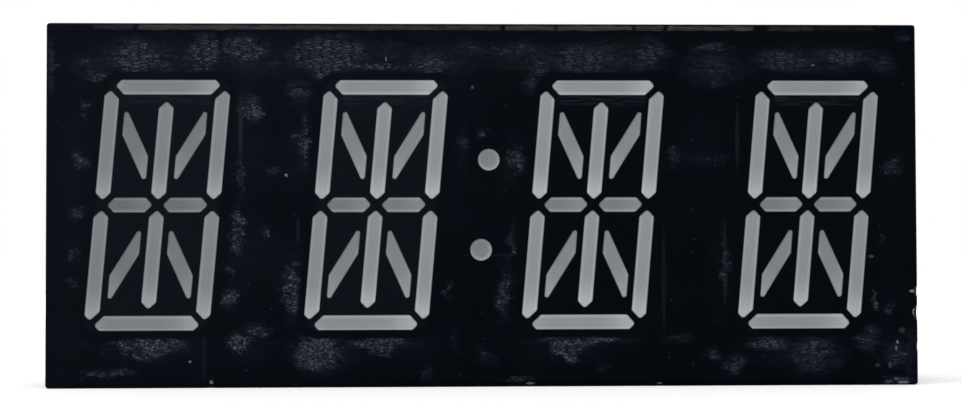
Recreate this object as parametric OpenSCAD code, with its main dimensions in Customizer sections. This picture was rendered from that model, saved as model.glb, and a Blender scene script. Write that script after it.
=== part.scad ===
// Four-digit, fourteen-segment light-emitting display of the kind that a kitchen oven shows the time on.
// A moulded housing holds slanted reflector wells filled with hazy resin, closed behind by a circuit board,
// a poured resin back and two rows of pins. The face looks along -Y, the pins point along +Y, and the
// origin is the centre of the flat rim that seats on the board it is soldered to.

/* [Body] */
// Depth of the housing from its face to its seating rim
body_d = 8; // [7:0.1:12]
// Thickness of the wall around the recess at the back
wall = 1; // [0.6:0.1:1.6]
// Distance from a row of pins to the long side next to it
row_border = 2.43; // [2:0.01:4]
// Body left beyond the last digits' places at each end
end_border = 0.12; // [0:0.01:2]
// Radius along the four edges of the face
edge_r = 0.3; // [0.1:0.05:0.8]
// Radius of the upright corners
corner_r = 0.25; // [0.1:0.05:0.9]

/* [Digits] */
// Distance from one digit to the next
digit_pitch = 12; // [11:0.1:16]
// Height of a digit
digit_h = 13.8; // [12.5:0.01:16]
// Width of a digit before it is slanted
digit_w = 6.89; // [6.2:0.01:8]
// Width of a straight light bar
stroke = 0.83; // [0.7:0.01:1]
// Slant of the digits to the right, in degrees
slant = 5; // [0:0.5:10]
// Radius of a light bar's corners
tip_r = 0.16; // [0.05:0.01:0.2]
// Distance from the points of the outer bars to the middle line of the bar that they meet
corner_gap = 0.13; // [0.1:0.01:0.2]
// Shift of those points towards the outside of the digit
tip_shift = 0.1; // [0:0.01:0.15]
// Distance from the points at the inner crossings to the middle line of the bar that they meet
cross_gap = 0.25; // [0.22:0.01:0.35]
// Gap between the points of the upright centre bars and the bar above or below
star_gap = 0.32; // [0.2:0.01:0.5]
// Gap between a diagonal bar and the uprights beside it
diagonal_side_gap = 0.33; // [0.2:0.01:0.4]
// Gap between a diagonal bar's outer end and the outer level bar
diagonal_end_gap = 0.93; // [0.5:0.01:1.2]
// Gap between a diagonal bar's inner end and the middle level bar
diagonal_foot_gap = 1; // [0.5:0.01:1.2]
// Width of a diagonal bar, measured level
diagonal_w = 0.91; // [0.8:0.01:1]
// Width of a diagonal bar's blunt ends
diagonal_blunt = 0.23; // [0.15:0.01:0.35]

/* [Colon] */
// Diameter of a colon dot
dot_d = 1.2; // [1:0.05:1.6]
// Distance between the two dots
dot_spacing = 4.98; // [3.5:0.01:6]

/* [Wells] */
// Depth of the straight mouth of a well, before its walls slope in
well_mouth = 0.5; // [0.3:0.1:1.5]
// Slope of a well's long walls: how far each moves in between mouth and board
side_draft = 0.12; // [0.05:0.01:0.16]
// Slope of a well's ends: how far each moves in between mouth and board
end_draft = 0.6; // [0.2:0.05:0.7]
// Depth of the resin's surface below the face
resin_sink = 0.05; // [0.02:0.01:0.15]
// Front skin left before the cored pockets between the digits
core_skin = 1.5; // [1:0.1:3]
// Wall left between a cored pocket and the digits beside it
core_wall = 1; // [0.7:0.1:1.5]
// Radius of a cored pocket's corners
core_r = 0.5; // [0.2:0.1:0.8]

/* [Board] */
// Thickness of the circuit board
board_t = 1; // [0.6:0.1:1.6]
// Clearance around the board in its recess
board_clear = 0.2; // [0.1:0.05:0.4]
// Thickness of the resin poured behind the board
potting_t = 0.7; // [0.6:0.1:1.5]
// Depth of that resin's surface below the seating rim
potting_sink = 0.3; // [0.1:0.05:0.6]

/* [Pins] */
// Pins in each row
pins_per_row = 10; // [10:1:10]
// Distance between pins in a row
pin_pitch = 2.54; // [2:0.01:2.6]
// Diameter of a pin's tail
pin_d = 0.5; // [0.4:0.05:0.55]
// Length of a pin's tail beyond the seating rim
pin_len = 4.5; // [3:0.1:8]
// Length of the pointed end of a tail
pin_point = 0.3; // [0.1:0.05:0.5]
// Diameter of the shoulder that a pin is soldered by
shoulder_d = 0.9; // [0.85:0.01:0.95]
// Length of shoulder that stands through the board's front
shoulder_head = 0.35; // [0.2:0.05:0.6]
// Solder between a shoulder and the wall of its hole
solder_gap = 0.06; // [0.04:0.01:0.1]
// Radius of the solder fillet on the board
fillet_r = 0.85; // [0.75:0.05:1]
// Height of the solder fillet
fillet_h = 0.45; // [0.3:0.05:0.55]
// Clearance around a shoulder in the housing
relief_clear = 0.12; // [0.1:0.01:0.17]
// Wall left between that clearance and a digit's outer bar
relief_wall = 0.14; // [0.1:0.01:0.17]
// Clearance beyond the end of a shoulder in the housing
relief_end = 0.25; // [0.1:0.05:0.5]

/* [Light sources] */
// Side of a square light-emitting die
die_w = 0.3; // [0.2:0.02:0.36]
// Thickness of a die
die_t = 0.2; // [0.1:0.02:0.3]
// Diameter of a bond wire
wire_d = 0.05; // [0.03:0.01:0.08]
// Distance that a bond wire spans from its die to the board
wire_span = 0.5; // [0.44:0.02:0.56]

/* [Hidden] */
digit_count = 4;
dot_count = 2;
cut = 0.1;
arc_steps = 2;
$fn = 48;

body_w = digit_count * digit_pitch + 2 * end_border;
shoulder_r = shoulder_d / 2;
relief_r = shoulder_r + relief_clear;
row_spacing = pin_pitch * ceil((digit_h + 2 * (relief_r + relief_wall)) / pin_pitch);
body_h = row_spacing + 2 * row_border;
recess_w = body_w - 2 * wall;
recess_h = body_h - 2 * wall;

// Places along the depth, from the face to the seating rim at zero
y_face = -body_d;
y_resin = y_face + resin_sink;
y_mouth = y_face + well_mouth;
y_potting = -potting_sink;
y_board_back = y_potting - potting_t;
y_board = y_board_back - board_t;

// Middle lines of a digit's side bars and outer level bars, and the points of its bars
side_x = (digit_w - stroke) / 2;
outer_z = (digit_h - stroke) / 2;
tip_x = side_x - corner_gap;
tip_z = outer_z - corner_gap;
star_z = outer_z - stroke / 2 - star_gap;

// The box that a diagonal bar fills, and the run of its sloped sides to each unit of height
diagonal_x0 = stroke / 2 + diagonal_side_gap;
diagonal_x1 = side_x - stroke / 2 - diagonal_side_gap;
diagonal_z0 = stroke / 2 + diagonal_foot_gap;
diagonal_z1 = outer_z - stroke / 2 - diagonal_end_gap;
diagonal_c = [(diagonal_x0 + diagonal_x1) / 2, (diagonal_z0 + diagonal_z1) / 2];
diagonal_half = [(diagonal_x1 - diagonal_x0) / 2, (diagonal_z1 - diagonal_z0) / 2];
diagonal_run = (diagonal_w + 2 * diagonal_half.x - 2 * diagonal_blunt) / (2 * diagonal_half.y);

digit_numbers = [for (n = [1 : digit_count]) n];
pin_numbers = [for (n = [1 : 2 * pins_per_row]) n];
function digit_node(n, what) = str("digit_", n, "_", what);
function pin_node(n) = str("pin_", n < 10 ? "0" : "", n);

// Plane outlines: lists of points in the face's own x and z, counter-clockwise
function unit(v) = v / norm(v);
function backwards(points) = [for (i = [len(points) - 1 : -1 : 0]) points[i]];
function moved(points, by) = [for (p = points) p + by];
function upright(points) = backwards([for (p = points) [p.y, p.x]]);
function mirrored(points, sx, sz) =
    let (flipped = [for (p = points) [sx * p.x, sz * p.y]])
    sx * sz > 0 ? flipped : backwards(flipped);
function leaned(p) = [p.x + p.y * tan(slant), p.y];
function all_leaned(points) = [for (p = points) leaned(p)];

// The arc that rounds the corner b between a and c
function corner_arc(a, b, c, r) =
    let (
        u = unit(a - b),
        v = unit(c - b),
        half = acos(u * v) / 2,
        centre = b + unit(u + v) * r / sin(half),
        first = b + u * r / tan(half) - centre,
        start = atan2(first.y, first.x),
        step = (180 - 2 * half) / arc_steps
    )
    [for (i = [0 : arc_steps]) centre + r * [cos(start + i * step), sin(start + i * step)]];
function rounded(points, r) =
    let (n = len(points))
    [for (i = [0 : n - 1]) each corner_arc(points[(i + n - 1) % n], points[i], points[(i + 1) % n], r)];

// A level bar from u0 to u1 with right-angled points, each shifted towards its upper side
function bar(u0, u1, w, shift0, shift1) =
    let (r = min(tip_r, 0.9 * (w / 2 - max(shift0, shift1))))
    rounded([
        [u0, shift0],
        [u0 + w / 2 + shift0, -w / 2],
        [u1 - w / 2 - shift1, -w / 2],
        [u1, shift1],
        [u1 - w / 2 + shift1, w / 2],
        [u0 + w / 2 - shift0, w / 2]
    ], r);

// A diagonal bar that falls to the right inside a box of these half sizes
function diagonal(half, w) =
    let (
        blunt = w / 2 + half.x - diagonal_run * half.y,
        knee = half.y - (2 * half.x - blunt) / diagonal_run
    )
    rounded([
        [-half.x, half.y],
        [-half.x, -knee],
        [half.x - blunt, -half.y],
        [half.x, -half.y],
        [half.x, knee],
        [blunt - half.x, half.y]
    ], min(tip_r, 0.55 * blunt));

// The five kinds of bar in a digit's upper half, at the mouth (0) or at the board (1) of their wells
function bar_width(at) = stroke - 2 * at * side_draft;
function bar_shift(at) = tip_shift * bar_width(at) / stroke;
function outer_bar(at) =
    let (tip = tip_x - at * end_draft)
    moved(bar(-tip, tip, bar_width(at), bar_shift(at), bar_shift(at)), [0, outer_z]);
function side_bar(at) =
    let (foot = cross_gap + at * end_draft, tip = tip_z - at * end_draft)
    moved(upright(bar(foot, tip, bar_width(at), 0, bar_shift(at))), [side_x, 0]);
function centre_bar(at) =
    let (foot = cross_gap + at * end_draft, tip = star_z - at * end_draft)
    upright(bar(foot, tip, bar_width(at), 0, 0));
function middle_bar(at) =
    let (foot = cross_gap + at * end_draft, tip = side_x - cross_gap - at * end_draft)
    bar(foot, tip, bar_width(at), 0, 0);
function diagonal_bar(at) =
    moved(diagonal(diagonal_half - at * [side_draft, end_draft], diagonal_w - 2 * at * side_draft),
          [-diagonal_c.x, diagonal_c.y]);

// A segment is its outline at the mouth, its outline at the board, its centre and the way that it runs
function segment(front, back, centre, along, sx, sz) = [
    all_leaned(mirrored(front, sx, sz)),
    all_leaned(mirrored(back, sx, sz)),
    leaned([sx * centre.x, sz * centre.y]),
    leaned([sx * along.x, sz * along.y])
];
segments = [
    for (sz = [-1, 1]) segment(outer_bar(0), outer_bar(1), [0, outer_z], [1, 0], 1, sz),
    for (sx = [-1, 1], sz = [-1, 1])
        segment(side_bar(0), side_bar(1), [side_x, (cross_gap + tip_z) / 2], [0, 1], sx, sz),
    for (sz = [-1, 1]) segment(centre_bar(0), centre_bar(1), [0, (cross_gap + star_z) / 2], [0, 1], 1, sz),
    for (sx = [-1, 1]) segment(middle_bar(0), middle_bar(1), [side_x / 2, 0], [1, 0], sx, 1),
    for (sx = [-1, 1], sz = [-1, 1])
        segment(diagonal_bar(0), diagonal_bar(1), [-diagonal_c.x, diagonal_c.y], [-diagonal_run, 1], sx, sz)
];

function digit_x(n) = (n - (digit_count + 1) / 2) * digit_pitch;
function dot_place(i) = leaned([0, (i - (dot_count - 1) / 2) * dot_spacing]);
function pin_place(n) =
    let (row = n > pins_per_row ? 1 : -1, i = (n - 1) % pins_per_row)
    [(i - (pins_per_row - 1) / 2) * pin_pitch, 0, row * row_spacing / 2];

// A plane outline drawn in x and z, given thickness from y0 back to y1
module slab(y0, y1) {
    translate([0, y1, 0])
        rotate([90, 0, 0])
            linear_extrude(y1 - y0)
                children();
}

// A profile of radius and depth, turned about an axis that runs back along Y
module turned(points) {
    rotate([-90, 0, 0])
        rotate_extrude()
            polygon(points);
}

// A rectangle with round corners
module plate_outline(w, h, r) {
    square([w - 2 * r, h], center = true);
    square([w, h - 2 * r], center = true);
    for (sx = [-1, 1], sz = [-1, 1])
        translate([sx * (w / 2 - r), sz * (h / 2 - r)])
            circle(r);
}

// A section across the body from its face to its rim, with the two front edges rounded
module section_outline(span) {
    translate([y_face + edge_r, -span / 2])
        square([body_d - edge_r, span]);
    translate([y_face, edge_r - span / 2])
        square([body_d, span - 2 * edge_r]);
    for (s = [-1, 1])
        translate([y_face + edge_r, s * (span / 2 - edge_r)])
            circle(edge_r);
}

// The housing's outside: its plan, rounded along the face's long and short edges
module body_form() {
    intersection() {
        slab(y_face, 0)
            plate_outline(body_w, body_h, corner_r);
        translate([-body_w / 2, 0, 0])
            rotate([90, 0, 90])
                linear_extrude(body_w)
                    section_outline(body_h);
        translate([0, 0, -body_h / 2])
            linear_extrude(body_h)
                rotate(90)
                    section_outline(body_w);
    }
}

// A bar-shaped well or its filling: a straight mouth from y_front, then walls that slope in to the board
module bar_well(front, back, y_front) {
    n = len(front);
    rings = [[front, y_front], [front, y_mouth], [back, y_board]];
    points = [for (ring = rings, p = ring[0]) [p.x, ring[1], p.y]];
    sides = [
        for (k = [0, n], i = [0 : n - 1])
            let (j = (i + 1) % n)
            [k + i, k + j, k + n + j, k + n + i]
    ];
    polyhedron(points, concat([[for (i = [n - 1 : -1 : 0]) i]], sides, [[for (i = [0 : n - 1]) 2 * n + i]]));
}

module digit_wells(n, y_front) {
    translate([digit_x(n), 0, 0])
        for (s = segments)
            bar_well(s[0], s[1], y_front);
}

module dot_wells(y_front) {
    r = dot_d / 2;
    for (i = [0 : dot_count - 1])
        translate([dot_place(i).x, 0, dot_place(i).y])
            turned([[0, y_front], [r, y_front], [r, y_mouth], [r - side_draft, y_board], [0, y_board]]);
}

// Pockets cored out from behind between the digits, round the bosses of the colon's wells
module core_pockets() {
    half_w = (digit_pitch - digit_w) / 2 - core_wall;
    half_h = outer_z;
    outline = rounded([[-half_w, -half_h], [half_w, -half_h], [half_w, half_h], [-half_w, half_h]],
                      min(core_r, 0.9 * half_w));
    difference() {
        for (n = [1 : digit_count - 1])
            translate([digit_x(n) + digit_pitch / 2, 0, 0])
                slab(y_face + core_skin, y_board)
                    polygon(all_leaned(outline));
        for (i = [0 : dot_count - 1])
            translate([dot_place(i).x, 0, dot_place(i).y])
                slab(y_face, y_board + cut)
                    circle(dot_d / 2 + core_wall);
    }
}

module shoulder_reliefs() {
    depth = shoulder_head + relief_end;
    for (n = pin_numbers)
        translate(pin_place(n))
            slab(y_board - depth, y_board)
                circle(relief_r);
}

// One moulding: the black body, its wells, and the recess behind them
module reflector_housing() {
    color("#10151a")
        difference() {
            body_form();
            slab(y_board, cut)
                square([recess_w, recess_h], center = true);
            for (n = digit_numbers)
                digit_wells(n, y_face - cut);
            dot_wells(y_face - cut);
            core_pockets();
            shoulder_reliefs();
        }
}

// A die on the board and the wire that loops from its top to the board beside it
module die(depth_over) {
    translate([-wire_span / 2 - die_w / 2, y_board - die_t, -die_w / 2])
        cube([die_w, die_t + depth_over, die_w]);
}

module wire(depth_over) {
    translate([0, y_board - die_t, 0])
        rotate([180, 0, 0])
            rotate_extrude(angle = 180)
                translate([wire_span / 2, 0])
                    circle(wire_d / 2);
    translate([wire_span / 2, 0, 0])
        slab(y_board - die_t, y_board + depth_over)
            circle(wire_d / 2);
}

// Each light source of a digit, turned to lie along its bar
module along_bars(n) {
    translate([digit_x(n), 0, 0])
        for (s = segments)
            translate([s[2].x, 0, s[2].y])
                rotate([0, -atan2(s[3].y, s[3].x), 0])
                    children();
}

module at_dots() {
    for (i = [0 : dot_count - 1])
        translate([dot_place(i).x, 0, dot_place(i).y])
            children();
}

module digit_light_bars(n) {
    color("#84888c")
        difference() {
            digit_wells(n, y_resin);
            along_bars(n) die(cut);
            along_bars(n) wire(cut);
        }
}

module colon_light_dots() {
    color("#84888c")
        difference() {
            dot_wells(y_resin);
            at_dots() die(cut);
            at_dots() wire(cut);
        }
}

module digit_led_dies(n) {
    color("#c9a24a")
        along_bars(n) die(0);
}

module digit_bond_wires(n) {
    color("#d8b34c")
        along_bars(n) wire(0);
}

module colon_led_dies() {
    color("#c9a24a")
        at_dots() die(0);
}

module colon_bond_wires() {
    color("#d8b34c")
        at_dots() wire(0);
}

module circuit_board() {
    hole_r = shoulder_r + solder_gap;
    color("#2f5a3a")
        difference() {
            slab(y_board, y_board_back)
                square([recess_w - 2 * board_clear, recess_h - 2 * board_clear], center = true);
            for (n = pin_numbers)
                translate(pin_place(n))
                    slab(y_board - cut, y_board_back + cut)
                        circle(hole_r);
        }
}

// Solder that fills each hole round its pin and climbs the shoulder behind the board
module solder_fillets() {
    hole_r = shoulder_r + solder_gap;
    color("#b9bcc0")
        for (n = pin_numbers)
            translate(pin_place(n))
                turned([
                    [shoulder_r, y_board],
                    [hole_r, y_board],
                    [hole_r, y_board_back],
                    [fillet_r, y_board_back],
                    [hole_r, y_board_back + fillet_h],
                    [shoulder_r, y_board_back + fillet_h]
                ]);
}

// Resin poured over the board's back, round the pins and their solder
module back_potting() {
    hole_r = shoulder_r + solder_gap;
    color("#9aa09a")
        difference() {
            slab(y_board_back, y_potting)
                square([recess_w, recess_h], center = true);
            for (n = pin_numbers)
                translate(pin_place(n))
                    turned([
                        [0, y_board_back - cut],
                        [fillet_r, y_board_back - cut],
                        [fillet_r, y_board_back],
                        [hole_r, y_board_back + fillet_h],
                        [shoulder_r, y_board_back + fillet_h],
                        [shoulder_r, y_potting + cut],
                        [0, y_potting + cut]
                    ]);
        }
}

// A turned pin: its shoulder through the board and the resin, level with the rim, and its tail
module pin(n) {
    r = pin_d / 2;
    color("#c4c6c8")
        translate(pin_place(n))
            turned([
                [0, y_board - shoulder_head],
                [shoulder_r, y_board - shoulder_head],
                [shoulder_r, 0],
                [r, 0],
                [r, pin_len - pin_point],
                [r / 2, pin_len],
                [0, pin_len]
            ]);
}

reflector_housing();
colon_light_dots();
colon_led_dies();
colon_bond_wires();
circuit_board();
solder_fillets();
back_potting();
for (n = digit_numbers) {
    digit_light_bars(n);
    digit_led_dies(n);
    digit_bond_wires(n);
}
for (n = pin_numbers)
    pin(n);
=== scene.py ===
import math

import bmesh
import bpy
from mathutils import Matrix, Vector


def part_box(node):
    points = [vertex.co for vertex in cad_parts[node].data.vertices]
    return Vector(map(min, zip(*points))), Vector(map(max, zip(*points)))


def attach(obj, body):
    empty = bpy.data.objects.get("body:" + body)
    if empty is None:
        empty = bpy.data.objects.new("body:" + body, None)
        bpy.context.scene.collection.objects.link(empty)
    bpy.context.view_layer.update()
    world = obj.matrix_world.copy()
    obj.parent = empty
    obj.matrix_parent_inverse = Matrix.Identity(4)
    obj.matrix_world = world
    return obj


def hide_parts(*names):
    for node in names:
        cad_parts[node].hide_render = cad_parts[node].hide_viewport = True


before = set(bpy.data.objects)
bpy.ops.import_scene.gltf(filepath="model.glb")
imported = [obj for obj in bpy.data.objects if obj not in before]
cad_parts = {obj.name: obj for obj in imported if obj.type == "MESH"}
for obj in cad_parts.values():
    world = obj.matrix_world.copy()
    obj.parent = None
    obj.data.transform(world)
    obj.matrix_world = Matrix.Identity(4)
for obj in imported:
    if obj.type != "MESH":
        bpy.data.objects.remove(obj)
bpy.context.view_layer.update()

MM = 0.001

# Points this close are one point, and a face this close to a depth lies at it
JOIN = 0.001 * MM
NEAR = 0.01 * MM

# The digits from left to right, and how many pins are in a row
DIGITS = range(1, 5)
PINS_IN_ROW = 10

# Places taken from the frame
housing_low, housing_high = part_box("reflector_housing")
digit_low, digit_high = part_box("digit_1_light_bars")
face_y = housing_low.y
resin_y = digit_low.y
pour_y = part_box("back_potting")[1].y
first_pin, next_pin = [sum(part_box(name), Vector()) / 2 for name in ("pin_01", "pin_02")]
pin_pitch = next_pin.x - first_pin.x
pin_row = abs(first_pin.z)
digit_height = digit_high.z - digit_low.z

# The digits stand in even places, and lean to the right: sideways run to each unit of height
LEAN = math.tan(math.radians(5))
digit_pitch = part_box("digit_2_light_bars")[0].x - digit_low.x
digit_width = digit_high.x - digit_low.x - LEAN * digit_height

# By its normal a face counts as flat to the front or back, as square to an axis, as a wall or as printed
FLAT_FROM = 0.999
SQUARE_FROM = 0.99999
WALL_UP_TO = 0.01
PRINTED_UP_TO = -0.05

# Faces that turn by less than this lie in one plane
ONE_PLANE = math.radians(0.3)

# A bar counts as upright from this height to its width, and as slanted if it is wider than this share of
# its height and this much more
UPRIGHT_FROM = 1.5
SLANT_RUN = 0.25
SLANT_BAR = 0.4 * MM

# Edges and mouths of the moulding, and the cuts that shape a nick, as shares of its half length
EDGE_ROUND = 0.31 * MM
MOUTH_ROUND = 0.03 * MM
NICK_CUTS = (-1, -0.6, -0.2, 0.2, 0.6, 1)

# The resin of a bar is dished inside a narrow rim
RESIN_RIM = 0.06 * MM
RESIN_DISH = 0.012 * MM

# The poured back climbs the walls and the pins: how high, and over which rings with which share of it
POUR_CLIMB = 0.17 * MM
POUR_RINGS = (0.1 * MM, 0.1 * MM, 0.14 * MM)
POUR_SHARES = (1.0, 0.45, 0.13)

# Tracks of the board that show through it: spacing, reach from the middle, soft edge from the centre line
TRACK_PITCH = 1.5 * MM
TRACK_REACH = 4.5 * MM
TRACK_EDGE = (0.26 * MM, 0.18 * MM)

# The grey of the resin at the left end of the face, its rise up to the middle, its drop on the right and
# the share it gains towards the foot: from and to on the face, how much
RESIN_GREY = 0.169
RESIN_RISE = (-22 * MM, 0, 0.0565)
RESIN_DROP = (8 * MM, 20 * MM, 0.02)
RESIN_GAIN = (2 * MM, -6 * MM, 0.03)

# How far the painted light at a bar's lit end and far end reaches in mm, and how it falls off. Then
# between which shares of the half width its sides and a dot's rim grow brighter with painted light, and
# by how much the rim does
LIT_REACH = (2.6, -0.3)
LIT_CURVE = 1.8
FAR_REACH = (1.2, -0.2)
FAR_CURVE = 2.0
SIDE_REACH = (0.45, 0.85)
RING_REACH = (0.55, 0.95)
RING_SHARE = 0.95

# How each kind of bar carries that grey: its level, what the painted light at its lit end, its far end
# and its sides adds to it, and 1 for a round dot
SHARES = ("level", "lit_share", "far_end_light_share", "side_light_share", "roundness")
BAR_SHARES = {
    "dot": (0.6, 0.3, 0.0, 0.0, 1.0),
    "slanted": (0.82, 0.54, 0.0, 0.2, 0.0),
    "upright": (1.0, 0.76, 0.1, 0.3, 0.0),
    "top": (0.98, 0.54, 0.34, 0.5, 0.0),
    "middle": (0.65, 0.42, 0.2, 0.62, 0.0),
    "bottom": (1.02, 0.6, 0.34, 0.5, 0.0),
}
DOT_LIT_END = Vector((0.5, 0, -0.87)).normalized()

# The face stays clean round each digit
CLEAN_MARGIN = 0.42 * MM
CLEAN_ROUND = 0.6 * MM
CLEAN_EDGE = CLEAN_ROUND + CLEAN_MARGIN

# The film on the face has dried into flat crumbs, and below and beside the digits into small scales
CRUMB_WIDTH = 0.56 * MM
CRUMB_HEIGHT = 0.14 * MM
CRUMB_SCATTER = 0.9
SCALE_WIDTH = 0.28 * MM
SCALE_HEIGHT = 0.18 * MM
BELOW_DIGITS = (-6.2 * MM, -7.2 * MM)
BESIDE_DIGITS = (-6.4 * MM, 6.2 * MM)
LEFT_OF_DIGIT_4 = (14 * MM, 9 * MM)

# Smear under each digit's top bar: from and to below the digit's top, and its soft end beside the middle
SMEAR_DROP = (0.8 * MM, 1.4 * MM)
SMEAR_END = (2.6 * MM, 2.2 * MM)

# Line along the rounded top edge, a painted highlight broken up like rubbed wear, and the dark line under
# it, from and to below the edge
LIT_AND_RUBBED_DROP = (0.13 * MM, 0.37 * MM)
DARK_DROP = (0.44 * MM, 0.52 * MM)

# Strip on the rounded left edge, a painted highlight that also stands for rubbing: from and to inside the
# edge, and its heights
STRIP_INSET = (0.12 * MM, 0.42 * MM)
STRIP_HEIGHTS = (6.2 * MM, 9 * MM)

# The surround's light on the object, and the white floor: half its width in metres, its glow near the
# object, what is added to it far off, and from where to where
SURROUND_LEVEL = 0.42
FLOOR_HALF = 4.0
FLOOR_GLOW = 0.24
FLOOR_FAR_GLOW = 0.5
FLOOR_FADE = (60 * MM, 300 * MM)

# Soft lights: name, place and size in metres, watts
LIGHTS = (
    ("overhead_softbox", (-0.08, -0.16, 0.4), 0.3, 1.0),
    ("front_softbox", (0.1, -0.6, 0.15), 0.4, 1.6),
    ("rear_softbox", (0.15, 0.6, 0.3), 0.4, 1.4),
)

# The photograph's viewpoint: what it looks at on the face, how far off it is, and its angles in degrees
LOOK_AT = Vector((-0.22 * MM, face_y, 0.089 * MM))
VIEW_DISTANCE = 120 * MM
VIEW_AZIMUTH = -2.426
VIEW_ELEVATION = -1.963
VIEW_ROLL = -0.146
SENSOR_WIDTH = 36
LENS_LENGTH = 81.282
SEEN_FROM = 1 * MM
SEEN_TO = 20

# Dull film on the face: place right of and above the middle, half width and half height in mm, strength
RESIDUE = (
    # above digit 1
    (-19.3, 8.2, 1.4, 0.9, 1.0), (-17.6, 7.7, 0.6, 0.33, 0.6), (-22.0, 7.6, 0.8, 0.6, 0.45),
    (-21.3, 7.1, 0.8, 0.5, 0.65), (-15.4, 8.4, 0.8, 1.0, 1.0), (-13.3, 8.5, 1.3, 0.9, 0.75),
    (-11.7, 7.9, 0.33, 0.27, 0.4),
    # beside it
    (-12.9, 5.3, 0.7, 0.8, 0.75), (-13.5, 1.6, 0.27, 1.2, 0.55), (-21.9, 5.2, 0.4, 0.8, 0.5),
    (-22.3, 2.5, 0.55, 0.65, 0.6), (-11.7, 1.9, 0.45, 0.4, 0.45), (-23.7, 7.9, 0.22, 0.9, 0.4),
    (-22.5, -0.4, 0.55, 0.6, 0.5), (-22.5, -2.7, 0.33, 0.45, 0.5), (-22.7, -4.3, 0.33, 0.33, 0.55),
    (-13.7, -1.5, 0.45, 1.5, 0.72), (-13.9, -3.6, 0.22, 0.55, 0.6), (-14.0, -5.1, 0.5, 0.65, 0.75),
    (-12.1, -1.6, 0.27, 0.4, 0.55),
    # below it
    (-18.4, -7.7, 2.0, 0.5, 1.0), (-18.5, -8.2, 0.8, 0.45, 0.9), (-13.6, -7.5, 0.65, 0.6, 0.85),
    (-12.5, -6.9, 0.8, 0.45, 0.6), (-20.4, -9.2, 1.9, 0.27, 0.45), (-21.8, -7.7, 0.33, 0.33, 0.35),
    # round digit 2
    (-8.7, 8.3, 2.0, 1.0, 1.0), (-9.0, 7.4, 0.6, 0.5, 0.8), (-5.8, 7.6, 1.9, 0.22, 0.9),
    (-3.0, 7.7, 1.1, 0.65, 0.85), (-5.2, 8.6, 0.9, 0.65, 0.35), (-10.3, 6.2, 0.8, 0.75, 0.5),
    (-10.0, 3.5, 0.4, 1.9, 0.55), (-10.6, -4.6, 0.5, 1.6, 0.8), (-9.2, -8.1, 1.4, 1.1, 0.95),
    (-5.9, -7.6, 2.1, 0.45, 0.65), (-5.6, -7.9, 0.9, 0.45, 0.65), (-3.1, -9.3, 0.45, 0.55, 0.4),
    # round the colon
    (0.9, 8.5, 1.3, 0.27, 0.6), (-0.8, 8.7, 1.2, 0.5, 0.4), (-1.3, 3.1, 0.33, 1.8, 0.35),
    (-0.3, 4.0, 0.33, 0.4, 0.45), (1.7, 2.4, 0.45, 1.0, 0.6), (1.4, -2.1, 0.22, 1.3, 0.5),
    (1.0, -5.0, 0.5, 1.2, 0.65), (-2.1, -4.7, 0.27, 0.65, 0.5), (-1.6, -7.4, 0.27, 0.6, 0.35),
    (0.0, -8.4, 0.8, 0.75, 0.33),
    # round digit 3
    (5.5, 8.0, 1.8, 0.8, 1.0), (9.1, 8.3, 1.0, 0.9, 0.65), (2.1, 8.6, 1.0, 0.4, 0.5),
    (3.1, 7.7, 0.7, 0.6, 0.6), (2.8, 6.7, 0.7, 0.6, 0.45), (5.5, -7.5, 2.7, 0.27, 0.75),
    (4.7, -7.8, 1.2, 0.55, 1.0), (4.7, -8.3, 0.45, 0.45, 0.9), (10.8, -7.4, 1.1, 0.33, 0.35),
    (6.4, -9.1, 0.45, 0.33, 0.35), (1.9, -9.6, 1.0, 0.16, 0.5),
    # between digits 3 and 4
    (12.7, 7.6, 0.75, 0.7, 0.5), (12.7, 6.7, 0.27, 0.33, 0.5), (12.6, 8.8, 1.1, 0.22, 0.6),
    (10.5, 2.6, 0.33, 0.6, 0.7), (12.4, 2.5, 1.7, 0.4, 0.3), (13.3, -3.2, 0.27, 2.4, 0.45),
    (12.6, -8.3, 0.55, 0.45, 0.55), (13.7, -8.9, 0.7, 0.55, 0.5),
    # round digit 4
    (16.7, 8.0, 1.6, 0.6, 0.65), (20.2, 8.2, 1.5, 0.4, 0.65), (22.2, 7.9, 0.65, 0.75, 0.4),
    (22.8, 2.1, 0.65, 0.8, 0.55), (23.5, 9.3, 0.55, 0.16, 0.5), (15.8, -7.7, 1.3, 0.4, 0.65),
    (18.3, -8.3, 1.4, 1.1, 0.55), (21.3, -7.4, 0.7, 0.7, 0.55), (22.9, -8.3, 0.65, 0.8, 0.5),
    (23.7, -8.1, 0.33, 1.5, 0.3), (23.0, -9.8, 0.9, 0.27, 0.6), (21.7, -5.2, 0.22, 0.75, 0.6),
    (22.4, -5.8, 0.4, 0.5, 0.4), (22.2, -1.9, 0.22, 0.45, 0.45),
)

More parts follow.
